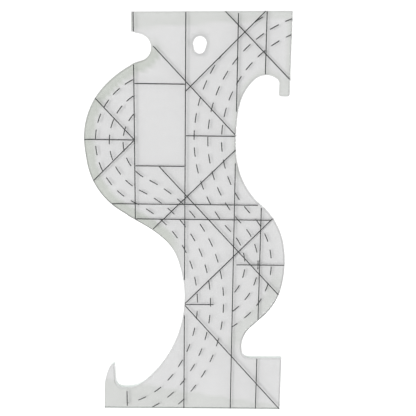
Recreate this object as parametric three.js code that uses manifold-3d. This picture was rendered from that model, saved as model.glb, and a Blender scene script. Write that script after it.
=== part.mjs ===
// A french curve: one flat sheet of clear acrylic, cut to an S of long sweeping edges, with a net of
// straight guide lines printed in black ink on its top face. Millimetres, +Z up, +Y along its length.
//
// The sheet and its lines are laid out on an inch grid: the middle vertical line is x = 0 and the
// horizontal line at the waist is y = 0. The whole part is then moved so that its origin is under the
// middle of the sheet.

import * as THREE from 'three';
import { mergeVertices } from 'three/addons/utils/BufferGeometryUtils.js';
import Module from 'manifold-3d';

const wasm = await Module();
wasm.setup();

// ---- Driving dimensions ----

const INCH = 25.4;
const THICKNESS = 3;

const TOP_LEFT = 94.4; // height of the top edge at its left end
const TOP_RIGHT = 95.8; // and at its right end: it is cut one degree out of square
const BOTTOM_EDGE = - 114;
const LOBE_LEFT = - 50.85; // how far the left lobe reaches
const TAB_LEFT = - 26.6;
const TAB_BOTTOM = 84.9;
const SHOULDER_RIGHT = 51.8; // right side of the upper half
const FOOT_LEFT = - 43.5;
const FOOT_RIGHT = 52.6; // right side of the lower half
const FOOT_TOP = - 83.9;
const ARC_TOLERANCE = 0.012; // how far a facet may leave its arc
const HOLE_SEGMENTS = 14; // half the number of facets on each of the hole's two arcs

const OUTER_LINE = 39.2; // the vertical line between the last inch line and the right side
const LOBE_LINE = 32.6; // the horizontal line where the left lobe's lines meet
const HOOK_LINE = - 31; // the short vertical line under the lower hook
const LINE_WIDTH = 0.5;
const INK_FILM = 1 / 32; // the ink that one pass of printing leaves
const EDGE_MARGIN = 0.4; // between the end of a line and the edge of the sheet

// ---- Drawing an edge ----

const straight = ( length ) => ( { length } );
const left = ( radius, turn ) => ( { radius, turn } );
const right = ( radius, turn ) => ( { radius, turn: -turn } );

// Follows straight runs and tangent arcs from a start point and a heading in degrees, and gives the
// points on the way.
function trace( x, y, heading, moves ) {

	const at = new THREE.Vector2( x, y );
	const points = [ at.clone() ];
	let angle = THREE.MathUtils.degToRad( heading );

	for ( const { length, radius, turn } of moves ) {

		if ( length ) {

			at.add( new THREE.Vector2( Math.cos( angle ), Math.sin( angle ) ).multiplyScalar( length ) );
			points.push( at.clone() );
			continue;

		}

		const sweep = THREE.MathUtils.degToRad( turn );
		const side = Math.sign( turn );
		const normal = new THREE.Vector2( - Math.sin( angle ), Math.cos( angle ) ).multiplyScalar( side );
		const centre = at.clone().addScaledVector( normal, radius );
		const facet = 2 * Math.acos( 1 - ARC_TOLERANCE / radius );
		const steps = Math.ceil( Math.abs( sweep ) / facet );

		for ( let step = 1; step <= steps; step ++ ) {

			points.push( at.clone().rotateAround( centre, sweep * step / steps ) );

		}

		at.copy( points[ points.length - 1 ] );
		angle += sweep;

	}

	return points;

}

// ---- The outline, anticlockwise from the top left corner ----

// The height of the top edge at x.
function topEdge( x ) {

	return THREE.MathUtils.mapLinear( x, TAB_LEFT, SHOULDER_RIGHT, TOP_LEFT, TOP_RIGHT );

}

function outlinePoints() {

	const upperNotch = trace( TAB_LEFT, TAB_BOTTOM, - 13.3, [
		straight( 4.9 ), right( 6.3, 151 ), left( 50, 5 ),
	] );
	const leftLobe = trace( - 27.4, 69, - 151, [
		left( 53, 19 ), left( 38, 48 ), left( 166, 2.5 ), left( 36, 50 ), straight( 4 ),
	] );
	const leftHollow = trace( - 29.3, - 6.3, - 29.9, [
		straight( 10 ), right( 56, 13 ), right( 25.6, 27.3 ), right( 63.3, 68.7 ), right( 15, 48 ),
		right( 4, 80 ), straight( 9.3 ), left( 0.5, 91 ), left( 2.8, 60 ), left( 30, 23.5 ),
	] );
	const rightLobe = trace( FOOT_RIGHT, FOOT_TOP, 180, [
		straight( 17.5 ), right( 4, 76.3 ), right( 15, 59.9 ), straight( 9 ),
		left( 32, 33 ), left( 57, 24.6 ), left( 35, 42.5 ),
	] );
	const rightHollow = trace( 38.2, 0.6, 134.8, [
		right( 53.6, 6.9 ), right( 38.9, 33.4 ), right( 100, 12.7 ), right( 24.4, 38.2 ), right( 8.7, 80.6 ),
		right( 2.7, 54.1 ), straight( 4.8 ), left( 1.4, 90 ), straight( 2.8 ), left( 1.4, 91.1 ),
	] );

	return [
		new THREE.Vector2( TAB_LEFT, TOP_LEFT ),
		...upperNotch,
		...leftLobe,
		...leftHollow,
		new THREE.Vector2( FOOT_LEFT, BOTTOM_EDGE ),
		new THREE.Vector2( FOOT_RIGHT, BOTTOM_EDGE ),
		...rightLobe,
		...rightHollow,
		new THREE.Vector2( SHOULDER_RIGHT, TOP_RIGHT ),
	];

}

// An egg-shaped hole to hang the curve by: a large arc above, a smaller one below, and the straight
// sides that touch both.
function hangingHole() {

	const upper = { x: 6.9, y: 80, radius: 3.2 };
	const lower = { x: 6.8, y: 77.7, radius: 2.6 };
	const lean = Math.asin( ( upper.radius - lower.radius ) / ( upper.y - lower.y ) );
	const hole = new THREE.Path();

	hole.absarc( upper.x, upper.y, upper.radius, - lean, Math.PI + lean, false );
	hole.absarc( lower.x, lower.y, lower.radius, Math.PI + lean, 2 * Math.PI - lean, false );
	hole.closePath();
	return hole;

}

function acrylicSheet() {

	const outline = new THREE.Shape( outlinePoints() );
	outline.holes.push( hangingHole() );
	return new THREE.ExtrudeGeometry( outline, {
		depth: THICKNESS, bevelEnabled: false, curveSegments: HOLE_SEGMENTS,
	} );

}

// ---- Guide lines ----
//
// Each line is a thin strip of ink on the top face. The sheet goes through the printer once for each
// direction, and where lines cross, the later ink lies over the earlier ink. The left hollow cuts into
// the middle vertical line, so that line is printed as an upper and a lower part.

const vertical = ( name, x, low, high ) => ( { name, from: [ x, low ], to: [ x, high ] } );
const horizontal = ( name, y, near, far ) => ( { name, from: [ near, y ], to: [ far, y ] } );
const diagonal = ( name, from, to ) => ( { name, from, to } );

const PRINTING_PASSES = [
	[
		vertical( 'vertical_line_left_tab', - INCH, 84.6, topEdge( - INCH ) ),
		vertical( 'vertical_line_left', - INCH, - 8.4, 69.8 ),
		vertical( 'vertical_line_middle_upper', 0, - 40.8, topEdge( 0 ) ),
		vertical( 'vertical_line_middle_lower', 0, BOTTOM_EDGE, - 59.4 ),
		vertical( 'vertical_line_right_upper', INCH, 46.9, 94.6 ),
		vertical( 'vertical_line_right_lower', INCH, BOTTOM_EDGE, 21.8 ),
		vertical( 'vertical_line_outer_top', OUTER_LINE, 65.2, topEdge( OUTER_LINE ) ),
		vertical( 'vertical_line_outer_lobe', OUTER_LINE, - 62.6, - 0.9 ),
		vertical( 'vertical_line_outer_foot', OUTER_LINE, BOTTOM_EDGE, FOOT_TOP ),
		vertical( 'vertical_line_hook', HOOK_LINE, - 112.8, - 103.2 ),
	],
	[
		horizontal( 'horizontal_line_window_top', 60.3, - INCH, 0 ),
		horizontal( 'horizontal_line_window_bottom', 19.6, - INCH, 0 ),
		horizontal( 'horizontal_line_left_lobe', LOBE_LINE, LOBE_LEFT, - INCH ),
		horizontal( 'horizontal_line_right_hollow', 35, 0, 25.3 ),
		horizontal( 'horizontal_line_waist', 0, - 37.5, 37.8 ),
		horizontal( 'horizontal_line_below_waist', - 7.8, - 25.7, 44.9 ),
		horizontal( 'horizontal_line_right_lobe', - 31.8, 26.7, 52.4 ),
		horizontal( 'horizontal_line_left_hollow', - 53.8, 0, 15.8 ),
	],
	[
		diagonal( 'falling_line_window', [ - 16, 78.5 ], [ INCH, 35.3 ] ),
		diagonal( 'falling_line_shoulder', [ 18.8, topEdge( 18.8 ) ], [ SHOULDER_RIGHT, 62.7 ] ),
		diagonal( 'falling_line_left_lobe', [ - 44.9, 53.3 ], [ - INCH, LOBE_LINE ] ),
		diagonal( 'falling_line_waist', [ - 13.3, 19.6 ], [ 49.9, - 48.4 ] ),
		diagonal( 'falling_line_foot', [ 0, - 54 ], [ FOOT_RIGHT, BOTTOM_EDGE ] ),
	],
	[
		diagonal( 'rising_line_shoulder', [ 0, 56.8 ], [ 38.8, topEdge( 38.8 ) ] ),
		diagonal( 'rising_line_left_lobe', [ - 46.8, 11.4 ], [ - INCH, LOBE_LINE ] ),
		diagonal( 'rising_line_waist', [ - 16.6, - 13.3 ], [ 25.6, 28.4 ] ),
		diagonal( 'rising_line_right_lobe', [ 0, - 53.6 ], [ 45.4, - 6.7 ] ),
	],
];

// A strip of ink between two points, shortened so that its ends stay on the sheet.
function inkStrip( { from, to }, height ) {

	const start = new THREE.Vector2( ...from );
	const end = new THREE.Vector2( ...to );
	const along = end.clone().sub( start );
	const length = along.length() - 2 * EDGE_MARGIN;
	const middle = start.clone().add( end ).multiplyScalar( 0.5 );

	return new THREE.BoxGeometry( length, LINE_WIDTH, height )
		.rotateZ( along.angle() )
		.translate( middle.x, middle.y, THICKNESS + height / 2 );

}

// ---- Cutting one solid by another ----

function toSolid( geometry ) {

	geometry.deleteAttribute( 'normal' );
	geometry.deleteAttribute( 'uv' );
	const merged = mergeVertices( geometry );
	return new wasm.Manifold( new wasm.Mesh( {
		numProp: 3,
		vertProperties: merged.attributes.position.array,
		triVerts: new Uint32Array( merged.index.array ),
	} ) );

}

function toGeometry( solid ) {

	const mesh = solid.getMesh();
	const geometry = new THREE.BufferGeometry();
	geometry.setAttribute( 'position', new THREE.BufferAttribute( mesh.vertProperties, 3 ) );
	geometry.setIndex( new THREE.BufferAttribute( mesh.triVerts, 1 ) );
	geometry.computeVertexNormals();
	return geometry;

}

function guideLines() {

	const lines = [];
	const printed = [];

	PRINTING_PASSES.forEach( ( pass, index ) => {

		const height = ( index + 1 ) * INK_FILM;
		const strips = pass.map( ( line ) => toSolid( inkStrip( line, height ) ) );

		strips.forEach( ( strip, number ) => {

			const ink = printed.reduce( ( uncovered, earlier ) => uncovered.subtract( earlier ), strip );
			const mesh = new THREE.Mesh( toGeometry( ink ), blackInk() );
			mesh.name = pass[ number ].name;
			lines.push( mesh );

		} );

		printed.push( ...strips );

	} );

	return lines;

}

// ---- Materials ----

function clearAcrylic() {

	return new THREE.MeshStandardMaterial( {
		color: 0xd9dedb, roughness: 0.05, metalness: 0, transparent: true, opacity: 0.35,
	} );

}

function blackInk() {

	return new THREE.MeshStandardMaterial( { color: 0x1a1b1b, roughness: 0.6, metalness: 0 } );

}

// ---- The part ----

const sheet = new THREE.Mesh( acrylicSheet(), clearAcrylic() );
sheet.name = 'acrylic_sheet';

const curve = new THREE.Group();
curve.add( sheet, ...guideLines() );
curve.position.set( - ( LOBE_LEFT + FOOT_RIGHT ) / 2, - ( TOP_RIGHT + BOTTOM_EDGE ) / 2, 0 );

export default curve;
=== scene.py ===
# A french curve of clear acrylic on a white table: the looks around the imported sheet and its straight
# guide lines. Metres, in the frame of the CAD part.

import math

import bmesh
import bpy
from mathutils import Euler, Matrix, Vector, geometry
from mathutils.kdtree import KDTree


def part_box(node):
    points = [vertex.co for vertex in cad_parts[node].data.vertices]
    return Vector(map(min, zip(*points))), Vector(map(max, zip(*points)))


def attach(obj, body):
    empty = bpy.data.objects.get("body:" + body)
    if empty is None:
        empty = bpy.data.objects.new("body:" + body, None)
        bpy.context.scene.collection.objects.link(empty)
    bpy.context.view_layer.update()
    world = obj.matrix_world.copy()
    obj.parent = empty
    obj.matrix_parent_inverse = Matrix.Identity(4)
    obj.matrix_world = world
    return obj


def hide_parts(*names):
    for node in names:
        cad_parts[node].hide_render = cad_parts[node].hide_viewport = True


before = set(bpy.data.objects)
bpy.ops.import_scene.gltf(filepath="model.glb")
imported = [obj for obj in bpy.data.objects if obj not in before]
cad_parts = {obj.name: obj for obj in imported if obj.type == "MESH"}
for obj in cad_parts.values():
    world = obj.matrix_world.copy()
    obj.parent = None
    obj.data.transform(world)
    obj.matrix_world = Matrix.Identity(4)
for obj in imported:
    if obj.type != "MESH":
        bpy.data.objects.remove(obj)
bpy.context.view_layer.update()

# ---- Sizes ----

MM = 0.001
SHEET = "acrylic_sheet"
SHEET_LOW, SHEET_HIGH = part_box(SHEET)
TOP_FACE = SHEET_HIGH.z

EDGE_ROUND = 0.4 * MM  # radius of the rounded cut edge
ROUND_STEPS = 3
SIDE_LENGTH = 1.5 * MM  # the longest side of the outline
MESH_SPACING = 2 * MM  # between points inside the top face
WELD = 0.002 * MM  # points closer than this are one
AIR_GAP = 0.05 * MM  # between the sheet and the table
LOOKS_UP = 0.9  # a face whose normal rises more than this is part of the top
STANDS_UP = 0.5  # a face whose normal rises less than this is a wall

# The rim is painted shade: a darker line just inside the cut edge, darkest where the edge faces away
# from the soft box, and a soft ring round the hole.
RIM_WIDTH = 1.0 * MM  # of the darker line that runs just inside the cut edge
RIM_FADE = 0.5 * MM  # over which it passes into the clear face
FAINTEST_RIM_SHADE = 0.4
HOLE_RING = 1.3 * MM  # where the ring round the hole is half faded

# The green border is partly the acrylic's own green near its cut edges and partly painted shade, where
# the face reflects less light.
LEFT_REACH = 5.0 * MM  # how far the green border reaches in from the left side
LOBE_REACH = 7.0 * MM
SHOULDER_REACH = 2.5 * MM
BORDER_FADE = 1.0 * MM  # over which it passes into the clear face
TOP_STRIP = 88.3 * MM  # how far above the grid's middle the top strip starts
TOP_SLOPE = 0.08
FOOT_STRIP = 103.3 * MM  # how far below it the foot strip starts
FOOT_SLOPE = 0.16
ZONE_FADE = 8 * MM  # over which the rim and the border fade out along the edge

# Zones of the sheet in millimetres on the inch grid: left, right, low and high.
GREEN_SHADE_LEFT = (-60, -4, -34, 79)
GREEN_SHADE_LOBE = (14, 60, -78, -36)
GREEN_SHADE_SHOULDER = (14, 60, 12, 100)
RIM_SHADE_LEFT = (-60, 0, -10, 75)

LINE_WIDTH = 0.5 * MM
DASH_LENGTH = 4.7 * MM
DASH_FILM = 0.02 * MM  # how far the ink of a dash stands above the face
ECHO_SPACING = 6.9 * MM
ECHO_STEP = 0.5 * MM  # between points along an echo curve
LEFT_PITCH = 7.83 * MM
RIGHT_GROWTH = 0.06 * MM


def line_centre(node):
    """The middle of a straight guide line."""
    low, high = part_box(node)
    return (low + high) / 2


# Places on the sheet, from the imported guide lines. GRID is the middle of the inch grid, where the
# middle vertical line crosses the line at the waist.
GRID = Vector((line_centre("vertical_line_middle_upper").x, line_centre("horizontal_line_waist").y))
LEFT_LINE = line_centre("vertical_line_left").x
HOOK_LINE = line_centre("vertical_line_hook").x
RIGHT_LINE = line_centre("vertical_line_right_lower").x
WINDOW_BOTTOM = line_centre("horizontal_line_window_bottom").y
LOBE_LINE = line_centre("horizontal_line_right_lobe").y
PRINT_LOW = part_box("vertical_line_middle_lower")[0].y
PRINT_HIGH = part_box("vertical_line_outer_top")[1].y
PRINT_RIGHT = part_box("falling_line_shoulder")[1].x
RISING_LOW, RISING_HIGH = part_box("rising_line_shoulder")

# ---- Meshes ----


def add_object(name, mesh, body="root"):
    """A new piece made of a bmesh, riding on a body, or a piece of the stage if body is None."""
    data = bpy.data.meshes.new(name)
    mesh.normal_update()
    mesh.to_mesh(data)
    mesh.free()
    piece = bpy.data.objects.new(name, data)
    bpy.context.scene.collection.objects.link(piece)
    if body:
        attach(piece, body)
    return piece


def outline_loops(node):
    """The closed outlines of a flat node, seen from above: the outer edge anticlockwise and the holes
    clockwise, longest first."""
    mesh = bmesh.new()
    mesh.from_mesh(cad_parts[node].data)
    bmesh.ops.remove_doubles(mesh, verts=mesh.verts, dist=WELD)
    following = {}
    for face in mesh.faces:
        if face.normal.z < LOOKS_UP:
            continue
        for corner in face.loops:
            if abs(corner.link_loop_radial_next.face.normal.z) < STANDS_UP:
                following[corner.vert] = corner.link_loop_next.vert
    loops = []
    while following:
        vertex, after = following.popitem()
        loop = [vertex.co.xy.copy()]
        while after in following:
            loop.append(after.co.xy.copy())
            after = following.pop(after)
        loops.append(loop)
    mesh.free()
    return sorted(loops, key=len, reverse=True)


def with_points_along(loop):
    """A closed outline with its long sides split into short ones."""
    finer = []
    for index, point in enumerate(loop):
        before = loop[index - 1]
        steps = math.ceil((point - before).length / SIDE_LENGTH)
        finer += [before.lerp(point, step / steps) for step in range(1, steps + 1)]
    return finer


def inset(loop, distance):
    """A closed outline moved into the material, which lies on its left."""
    moved = []
    for index, point in enumerate(loop):
        before = (point - loop[index - 1]).normalized()
        after = (loop[(index + 1) % len(loop)] - point).normalized()
        inward = Vector((-before.y - after.y, before.x + after.x)).normalized()
        corner = max(0.5, inward.dot(Vector((-before.y, before.x))))
        moved.append(point + inward * distance / corner)
    return moved


def edge_profile():
    """The rounded cut edge from the underside to the top face, as (inset, height) pairs."""
    quarter = [math.pi / 2 * step / ROUND_STEPS for step in range(ROUND_STEPS + 1)]
    rounded = [(EDGE_ROUND * (1 - math.sin(a)), EDGE_ROUND * (1 - math.cos(a))) for a in quarter]
    return rounded + [(inward, TOP_FACE - height) for inward, height in reversed(rounded)]


class Border:
    """Finds the nearest side of an outline, and how deep inside it a point lies."""

    def __init__(self, loops):
        self.sides = []
        for loop in loops:
            for before, point in zip([loop[-1]] + loop, loop):
                along = point - before
                inward = Vector((-along.y, along.x)).normalized()
                self.sides.append((before.lerp(point, 0.5), inward, loop is loops[0]))
        self.tree = KDTree(len(self.sides))
        for index, side in enumerate(self.sides):
            self.tree.insert((*side[0], 0), index)
        self.tree.balance()

    def nearest(self, point):
        """The depth of a point, which way is inward from the side nearest to it, and whether that side
        is on the outer edge."""
        middle, inward, outer = self.sides[self.tree.find((*point, 0))[1]]
        return (point - middle).dot(inward), inward, outer

    def depth(self, point):
        return self.nearest(point)[0]


def soft_step(distance, fade):
    """0 well before an edge and 1 well past it, passing from one to the other over a fade's length."""
    return min(1.0, max(0.0, 0.5 + distance / fade))


def within(value, low, high):
    """1 between two places along the sheet and 0 beyond them, with long fades."""
    return soft_step(min(value - low, high - value), ZONE_FADE)


def in_zone(point, zone):
    """1 inside a zone of the sheet and 0 beyond it, with long fades."""
    x, y = point - GRID
    west, east, low, high = zone
    return within(x, west * MM, east * MM) * within(y, low * MM, high * MM)


def green_and_shade_border(point, depth):
    """How much of the green cast a point of the sheet shows. The cast is partly the acrylic's own green
    near its edges and partly painted shade, where the face reflects less light. It is strongest along
    the left side, and fainter round the right lobe, along the shoulder and in a slanted strip across
    each end."""
    x, y = point - GRID
    past_top_strip = y - TOP_SLOPE * x - TOP_STRIP
    past_foot_strip = -y - FOOT_SLOPE * x - FOOT_STRIP
    return max(
        in_zone(point, GREEN_SHADE_LEFT) * soft_step(LEFT_REACH - depth, BORDER_FADE),
        in_zone(point, GREEN_SHADE_LOBE) * soft_step(LOBE_REACH - depth, BORDER_FADE) / 2,
        in_zone(point, GREEN_SHADE_SHOULDER) * soft_step(SHOULDER_REACH - depth, BORDER_FADE) / 2,
        soft_step(max(past_top_strip, past_foot_strip), BORDER_FADE) / 2,
    )


def painted_rim_shade(point, depth, inward, outer):
    """How dark the painted shade of the line just inside the cut edge is: most where the edge faces away
    from the soft box, and along the green left side. Round the hole it is a broad, soft ring of painted
    shade."""
    if not outer:
        return soft_step(HOLE_RING - depth, HOLE_RING)
    strength = max(FAINTEST_RIM_SHADE, -inward.x, in_zone(point, RIM_SHADE_LEFT))
    return soft_step(RIM_WIDTH - depth, RIM_FADE) * strength


def inner_points(loops, border):
    """Points inside a flat face: rows that follow its edges, and a grid between them. A row's point that
    comes too near to another edge, as it does in a tight corner, is left out."""
    points = []
    nearest_share = 0.9
    for depth in (RIM_WIDTH - RIM_FADE / 2, RIM_WIDTH + RIM_FADE / 2):
        rows = [point for loop in loops for point in inset(loop, depth)]
        points += [point for point in rows if border.depth(point) > nearest_share * depth]
    across, up = (SHEET_HIGH - SHEET_LOW).xy / MESH_SPACING
    for column in range(math.ceil(across)):
        for row in range(math.ceil(up)):
            point = SHEET_LOW.xy + Vector((column + 0.5, row + 0.5)) * MESH_SPACING
            if border.depth(point) > RIM_WIDTH + RIM_FADE + MESH_SPACING / 4:
                points.append(point)
    return points


def fill_face(mesh, rims, inner):
    """Fills the flat face between an outer rim and its holes with triangles through the inner points."""
    corners = [vertex for rim in rims for vertex in rim]
    height = corners[0].co.z
    edges = []
    for rim in rims:
        start = len(edges)
        edges += [(start + index, start + (index + 1) % len(rim)) for index in range(len(rim))]
    corners += [mesh.verts.new((*point, height)) for point in inner]
    outline = [vertex.co.xy for vertex in corners]
    _, _, triangles, origins, _, _ = geometry.delaunay_2d_cdt(outline, edges, [], 1, WELD)
    holes = {vertex for rim in rims[1:] for vertex in rim}
    for triangle in triangles:
        made = [corners[origins[index][0]] for index in triangle]
        if not holes.issuperset(made):
            mesh.faces.new(made)


def make_sheet():
    """The acrylic sheet with its cut edges rounded over, in place of the square-edged CAD one."""
    mesh = bmesh.new()
    loops = [with_points_along(loop) for loop in outline_loops(SHEET)]
    border = Border(loops)
    clear, frosted = 0, 1  # the order in which the sheet is given its materials
    low_rims, high_rims = [], []
    for loop in loops:
        rings = []
        for inward, height in edge_profile():
            rings.append([mesh.verts.new((*point, height)) for point in inset(loop, inward)])
        for lower, upper in zip(rings, rings[1:]):
            for index in range(len(loop)):
                wall = mesh.faces.new((lower[index - 1], lower[index], upper[index], upper[index - 1]))
                wall.smooth = True
                wall.material_index = frosted if lower is rings[ROUND_STEPS] else clear
        low_rims.append(rings[0])
        high_rims.append(rings[-1])
    fill_face(mesh, low_rims, [])
    fill_face(mesh, high_rims, inner_points(loops, border))
    bmesh.ops.recalc_face_normals(mesh, faces=mesh.faces)

    # green: a green cast, partly the acrylic's own green and partly painted shade.
    green = mesh.verts.layers.float.new("green")
    # rim: painted shade just inside the cut edge and round the hole.
    rim = mesh.verts.layers.float.new("rim")
    for vertex in mesh.verts:
        if vertex.co.z > TOP_FACE - WELD:
            depth, inward, outer = border.nearest(vertex.co.xy)
            vertex[green] = green_and_shade_border(vertex.co.xy, depth)
            vertex[rim] = painted_rim_shade(vertex.co.xy, depth, inward, outer)

    piece = add_object("clear_sheet", mesh)
    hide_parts(SHEET)
    return piece


# ---- Echo curves ----


def left(radius, turn):
    return radius * MM, math.radians(turn)


def right(radius, turn):
    return radius * MM, -math.radians(turn)


def follow(x, y, heading, arcs, aside):
    """Points along a run of tangent arcs, ECHO_STEP apart, moved aside to the left of the way. The start
    is in millimetres on the inch grid, the heading in degrees."""
    at = GRID + Vector((x, y)) * MM
    angle = math.radians(heading)
    points = []
    for radius, sweep in arcs:
        steps = math.ceil(radius * abs(sweep) / ECHO_STEP)
        for _ in range(steps):
            normal = Vector((-math.sin(angle), math.cos(angle)))
            points.append(at + normal * aside)
            middle = angle + sweep / steps / 2
            chord = 2 * radius * math.sin(abs(sweep) / steps / 2)
            at = at + Vector((math.cos(middle), math.sin(middle))) * chord
            angle += sweep / steps
    return points


def longest_run(points, inside):
    """The longest unbroken stretch of points that lies inside the printed area."""
    best, run = [], []
    for point in points:
        run = run + [point] if inside(point) else []
        if len(run) > len(best):
            best = run
    return best


def lengths_along(points):
    """How far along the line each of its points lies."""
    lengths = [0.0]
    for before, after in zip(points, points[1:]):
        lengths.append(lengths[-1] + (after - before).length)
    return lengths


def point_at(points, lengths, distance):
    """The point at a distance along a line, and the line's direction there."""
    index = 1
    while index < len(points) - 1 and lengths[index] < distance:
        index += 1
    before, after = points[index - 1], points[index]
    share = (distance - lengths[index - 1]) / (lengths[index] - lengths[index - 1])
    return before.lerp(after, share), (after - before).normalized()


def add_dash(mesh, points, lengths, start, end):
    """One dash of ink that bends with its curve: a thin closed strip on the top face."""
    sections = []
    pieces = max(1, round((end - start) / ECHO_STEP))
    for step in range(pieces + 1):
        middle, along = point_at(points, lengths, start + (end - start) * step / pieces)
        aside = Vector((-along.y, along.x)) * LINE_WIDTH / 2
        sections.append(
            [
                mesh.verts.new((*(middle + aside), TOP_FACE)),
                mesh.verts.new((*(middle - aside), TOP_FACE)),
                mesh.verts.new((*(middle - aside), TOP_FACE + DASH_FILM)),
                mesh.verts.new((*(middle + aside), TOP_FACE + DASH_FILM)),
            ]
        )
    for near, far in zip(sections, sections[1:]):
        for corner in range(4):
            mesh.faces.new((near[corner - 1], near[corner], far[corner], far[corner - 1]))
    mesh.faces.new(reversed(sections[0]))
    mesh.faces.new(sections[-1])


def anywhere(point):
    """The whole sheet, for a curve that is printed all the way."""
    return True


def below_rising_line(point):
    """The side of the shoulder's rising line that the right edge's echoes are printed on."""
    return (RISING_HIGH - RISING_LOW).xy.cross(point - RISING_LOW.xy) < 0


def make_echo(name, points, first, pitch, growth, shown=anywhere):
    """One dashed echo curve. The dashes' centres start at first, pitch apart, and each space is a little
    longer than the one before by growth. A dash is cut short at an end where shown is false."""
    mesh = bmesh.new()
    lengths = lengths_along(points)
    centre, space = first, pitch
    while centre - DASH_LENGTH / 2 < lengths[-1]:
        start = max(0.0, centre - DASH_LENGTH / 2)
        end = min(lengths[-1], centre + DASH_LENGTH / 2)
        while start < end and not shown(point_at(points, lengths, start)[0]):
            start += ECHO_STEP
        while start < end and not shown(point_at(points, lengths, end)[0]):
            end -= ECHO_STEP
        if end - start > LINE_WIDTH:
            add_dash(mesh, points, lengths, start, end)
        centre += space
        space += growth
    bmesh.ops.recalc_face_normals(mesh, faces=mesh.faces)
    piece = add_object(name, mesh)
    piece.data.materials.append(ink)


def make_left_echoes():
    """The three echoes of the left edge: round the lobe, over the waist and down the hollow."""
    arcs = [left(27.3, 141.1), right(62.4, 47), right(75.5, 57.6), right(46.4, 80)]

    def printed(point):
        if point.y > GRID.y:
            return point.x < LEFT_LINE or point.y < WINDOW_BOTTOM
        return point.x > HOOK_LINE and point.y > PRINT_LOW

    for number, (name, first, growth) in enumerate(
        (("outer", 2.4, 0.103), ("middle", 1.9, 0.112), ("inner", 1.9, 0.125))
    ):
        points = follow(-17.1, 58.0, -166.5, arcs, (number - 1) * ECHO_SPACING)
        points = longest_run(points, printed)
        make_echo(f"left_echo_{name}", points, first * MM, LEFT_PITCH, growth * MM)


def make_right_echoes():
    """The three echoes of the right edge: round the hollow and down the lobe."""
    arcs = [left(62.1, 124), right(31.4, 87), right(47.6, 34)]

    def printed(point):
        inside = point.x < PRINT_RIGHT and point.y < PRINT_HIGH
        return inside and (point.x > RIGHT_LINE or point.y > LOBE_LINE)

    for number, (name, first, pitch) in enumerate(
        (("outer", 0.5, 8.26), ("middle", 1.2, 8.14), ("inner", 7.1, 8.08))
    ):
        points = follow(61.9, 94.9, -169.3, arcs, (1 - number) * ECHO_SPACING)
        points = longest_run(points, printed)
        make_echo(
            f"right_echo_{name}", points, first * MM, pitch * MM, RIGHT_GROWTH, below_rising_line
        )


# ---- Materials ----


class Nodes:
    """A material's node tree, with short calls to add and join nodes."""

    def __init__(self, name):
        self.material = bpy.data.materials.new(name)
        self.material.use_nodes = True
        self.tree = self.material.node_tree
        self.tree.nodes.clear()
        self.output = self.add("ShaderNodeOutputMaterial")

    def add(self, kind, **settings):
        """A new node. A setting whose name starts with in_ is the value of an input, and any other is a
        property of the node."""
        node = self.tree.nodes.new(kind)
        for key, value in settings.items():
            if key.startswith("in_"):
                node.inputs[key[3:].replace("_", " ")].default_value = value
            else:
                setattr(node, key, value)
        return node

    def join(self, source, target):
        self.tree.links.new(source, target)

    def place(self, scale):
        """Object coordinates, stretched by a scale in each direction."""
        where = self.add("ShaderNodeTexCoord")
        mapping = self.add("ShaderNodeMapping", in_Scale=scale)
        self.join(where.outputs["Object"], mapping.inputs["Vector"])
        return mapping.outputs["Vector"]

    def noise(self, scale, detail, stretch=(1, 1, 1)):
        """A cloudy pattern: the larger the scale, the finer it is."""
        texture = self.add("ShaderNodeTexNoise", in_Scale=scale, in_Detail=detail)
        self.join(self.place(stretch), texture.inputs["Vector"])
        return texture.outputs["Fac"]

    def ramp(self, factor, *stops):
        """A colour ramp through (position, colour) stops."""
        ramp = self.add("ShaderNodeValToRGB")
        elements = ramp.color_ramp.elements
        while len(elements) < len(stops):
            elements.new(1.0)
        for element, (position, colour) in zip(elements, stops):
            element.position = position
            element.color = (*colour, 1)
        self.join(factor, ramp.inputs["Fac"])
        return ramp.outputs["Color"]

    def attribute(self, name):
        """A number that each point of the mesh carries."""
        return self.add("ShaderNodeAttribute", attribute_name=name).outputs["Fac"]

    def tinted(self, colour, factor, tint):
        """A colour multiplied by a tint where the factor is 1."""
        first_colour, second_colour, mixed_colour = 6, 7, 2  # the mix node's colour sockets
        mix = self.add("ShaderNodeMix", data_type="RGBA", blend_type="MULTIPLY")
        self.join(factor, mix.inputs["Factor"])
        self.join(colour, mix.inputs[first_colour])
        mix.inputs[second_colour].default_value = (*tint, 1)
        return mix.outputs[mixed_colour]

    def bump(self, height, strength, depth):
        """A surface that rises and falls with a pattern, by up to a depth."""
        bump = self.add("ShaderNodeBump", in_Strength=strength, in_Distance=depth)
        self.join(height, bump.inputs["Height"])
        return bump.outputs["Normal"]


def clear_acrylic():
    """Polished clear acrylic, very faintly smoky and cloudy, with hair scratches along its length. Its
    colour also carries painted shade near the edges.
    """
    nodes = Nodes("clear_acrylic")
    cloud = nodes.noise(scale=40, detail=3)
    plastic = nodes.add(
        "ShaderNodeBsdfPrincipled",
        in_Roughness=0.02,
        in_IOR=1.49,
        in_Transmission_Weight=1.0,
    )
    colour = nodes.ramp(cloud, (0.3, (0.658, 0.658, 0.66)), (0.7, (0.678, 0.678, 0.68)))
    # The green cast: partly the acrylic's own green and partly painted shade, where the face reflects
    # less light.
    colour = nodes.tinted(colour, nodes.attribute("green"), (0.65, 0.7, 0.61))
    # Painted shade: a darker line just inside the cut edge and a soft ring round the hole.
    colour = nodes.tinted(colour, nodes.attribute("rim"), (0.62, 0.62, 0.62))
    nodes.join(colour, plastic.inputs["Base Color"])
    scratches = nodes.noise(scale=900, detail=6, stretch=(1, 0.05, 1))
    bumps = nodes.bump(scratches, strength=0.04, depth=0.01 * MM)
    nodes.join(bumps, plastic.inputs["Normal"])
    let_light_through(nodes, plastic, (0.87, 0.87, 0.87))
    return nodes.material


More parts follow.
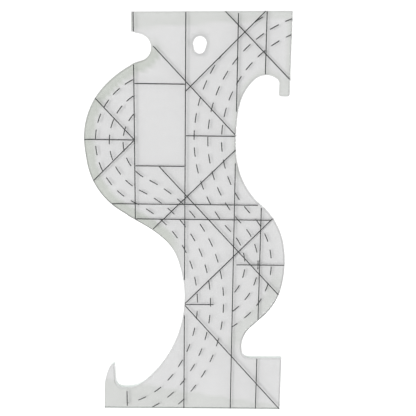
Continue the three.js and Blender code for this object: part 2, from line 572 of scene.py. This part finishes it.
def let_light_through(nodes, plastic, shade):
    """Lets light reach the table behind a clear piece: shade is the share that one face lets through."""
    light_path = nodes.add("ShaderNodeLightPath")
    passing = nodes.add("ShaderNodeMath", operation="MAXIMUM")
    nodes.join(light_path.outputs["Is Shadow Ray"], passing.inputs[0])
    nodes.join(light_path.outputs["Is Diffuse Ray"], passing.inputs[1])
    through = nodes.add("ShaderNodeBsdfTransparent", in_Color=(*shade, 1))
    mix = nodes.add("ShaderNodeMixShader")
    nodes.join(passing.outputs[0], mix.inputs[0])
    nodes.join(plastic.outputs[0], mix.inputs[1])
    nodes.join(through.outputs[0], mix.inputs[2])
    nodes.join(mix.outputs[0], nodes.output.inputs["Surface"])


def frosted_edge():
    """The cut edge, matt and grey-green, with a fine ripple. It looks lighter where it is seen at a
    slant."""
    nodes = Nodes("frosted_edge")
    ripples = nodes.noise(scale=700, detail=3)
    plastic = nodes.add(
        "ShaderNodeBsdfPrincipled",
        in_Roughness=0.5,
        in_IOR=1.49,
        in_Sheen_Weight=1.0,
        in_Sheen_Roughness=0.4,
    )
    nodes.join(
        nodes.ramp(ripples, (0.3, (0.5, 0.55, 0.52)), (0.7, (0.58, 0.63, 0.6))),
        plastic.inputs["Base Color"],
    )
    bumps = nodes.bump(ripples, strength=0.3, depth=0.03 * MM)
    nodes.join(bumps, plastic.inputs["Normal"])
    let_light_through(nodes, plastic, (0.9, 0.9, 0.9))
    return nodes.material


def black_ink():
    """Screen-printed black, a little patchy and slightly raised."""
    nodes = Nodes("black_ink")
    patches = nodes.noise(scale=2500, detail=5)
    paint = nodes.add("ShaderNodeBsdfPrincipled", in_Roughness=0.5)
    nodes.join(
        nodes.ramp(patches, (0.35, (0.006, 0.007, 0.007)), (0.75, (0.03, 0.032, 0.032))),
        paint.inputs["Base Color"],
    )
    bumps = nodes.bump(patches, strength=0.3, depth=0.02 * MM)
    nodes.join(bumps, paint.inputs["Normal"])
    nodes.join(paint.outputs[0], nodes.output.inputs["Surface"])
    return nodes.material


def table_white():
    """A matt white table top with a fine grain."""
    nodes = Nodes("table_white")
    grain = nodes.noise(scale=300, detail=6)
    matt = nodes.add("ShaderNodeBsdfPrincipled", in_Roughness=0.9)
    nodes.join(
        nodes.ramp(grain, (0.3, (0.88, 0.88, 0.88)), (0.7, (0.91, 0.91, 0.91))),
        matt.inputs["Base Color"],
    )
    nodes.join(matt.outputs[0], nodes.output.inputs["Surface"])
    return nodes.material


# ---- Stage ----


def make_table():
    """A wide, flat table top just under the sheet."""
    half_width = 3.0
    mesh = bmesh.new()
    bmesh.ops.create_grid(mesh, x_segments=1, y_segments=1, size=half_width)
    table = add_object("table", mesh, body=None)
    table.location.z = SHEET_LOW.z - AIR_GAP
    table.data.materials.append(table_white())


def studio_sky():
    """White light from all round, greyer towards the horizon."""
    world = bpy.data.worlds.new("studio")
    world.use_nodes = True
    nodes = world.node_tree.nodes
    links = world.node_tree.links
    where = nodes.new("ShaderNodeTexCoord")
    height = nodes.new("ShaderNodeSeparateXYZ")
    links.new(where.outputs["Generated"], height.inputs[0])
    fade = nodes.new("ShaderNodeValToRGB")
    horizon, overhead = fade.color_ramp.elements
    horizon.position, horizon.color = 0.0, (0.4, 0.41, 0.42, 1)
    overhead.position, overhead.color = 0.45, (1, 1, 1, 1)
    links.new(height.outputs["Z"], fade.inputs["Fac"])
    links.new(fade.outputs["Color"], nodes["Background"].inputs["Color"])
    nodes["Background"].inputs["Strength"].default_value = 1.05
    return world


def make_lights():
    """Even light from the sky, and a soft box from the left that throws the lines' shadows."""
    bpy.context.scene.world = studio_sky()

    lean = math.radians(24)
    distance = 3.0
    data = bpy.data.lights.new("left_softbox", "AREA")
    data.shape = "SQUARE"
    data.size = 1.0
    data.energy = 62
    softbox = bpy.data.objects.new("left_softbox", data)
    softbox.location = Vector((-math.sin(lean), 0, math.cos(lean))) * distance
    softbox.rotation_euler = (0, -lean, 0)
    softbox.visible_glossy = False  # it lights the sheet without white glints on the rounded edges
    bpy.context.scene.collection.objects.link(softbox)


def make_camera():
    """Above the end with the hole, looking down and a little back towards the foot."""
    data = bpy.data.cameras.new("camera")
    data.sensor_width = 36
    data.lens = 51.92
    camera = bpy.data.objects.new("camera", data)
    tilt, roll, swing = -11.08, -0.41, 0.70
    camera.rotation_euler = Euler([math.radians(a) for a in (tilt, roll, swing)])
    aim = Vector((11.0, 6.8, 0)) * MM
    reach = 310.5 * MM
    camera.location = aim + camera.rotation_euler.to_matrix() @ Vector((0, 0, reach))
    bpy.context.scene.collection.objects.link(camera)
    bpy.context.scene.camera = camera
    bpy.context.scene.view_settings.view_transform = "Standard"


# ---- The french curve ----

make_camera()
make_table()
make_lights()

ink = black_ink()

sheet = make_sheet()
sheet.data.materials.append(clear_acrylic())
sheet.data.materials.append(frosted_edge())

for node_name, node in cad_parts.items():
    if node_name != SHEET:
        node.data.materials.clear()
        node.data.materials.append(ink)

make_left_echoes()
make_right_echoes()
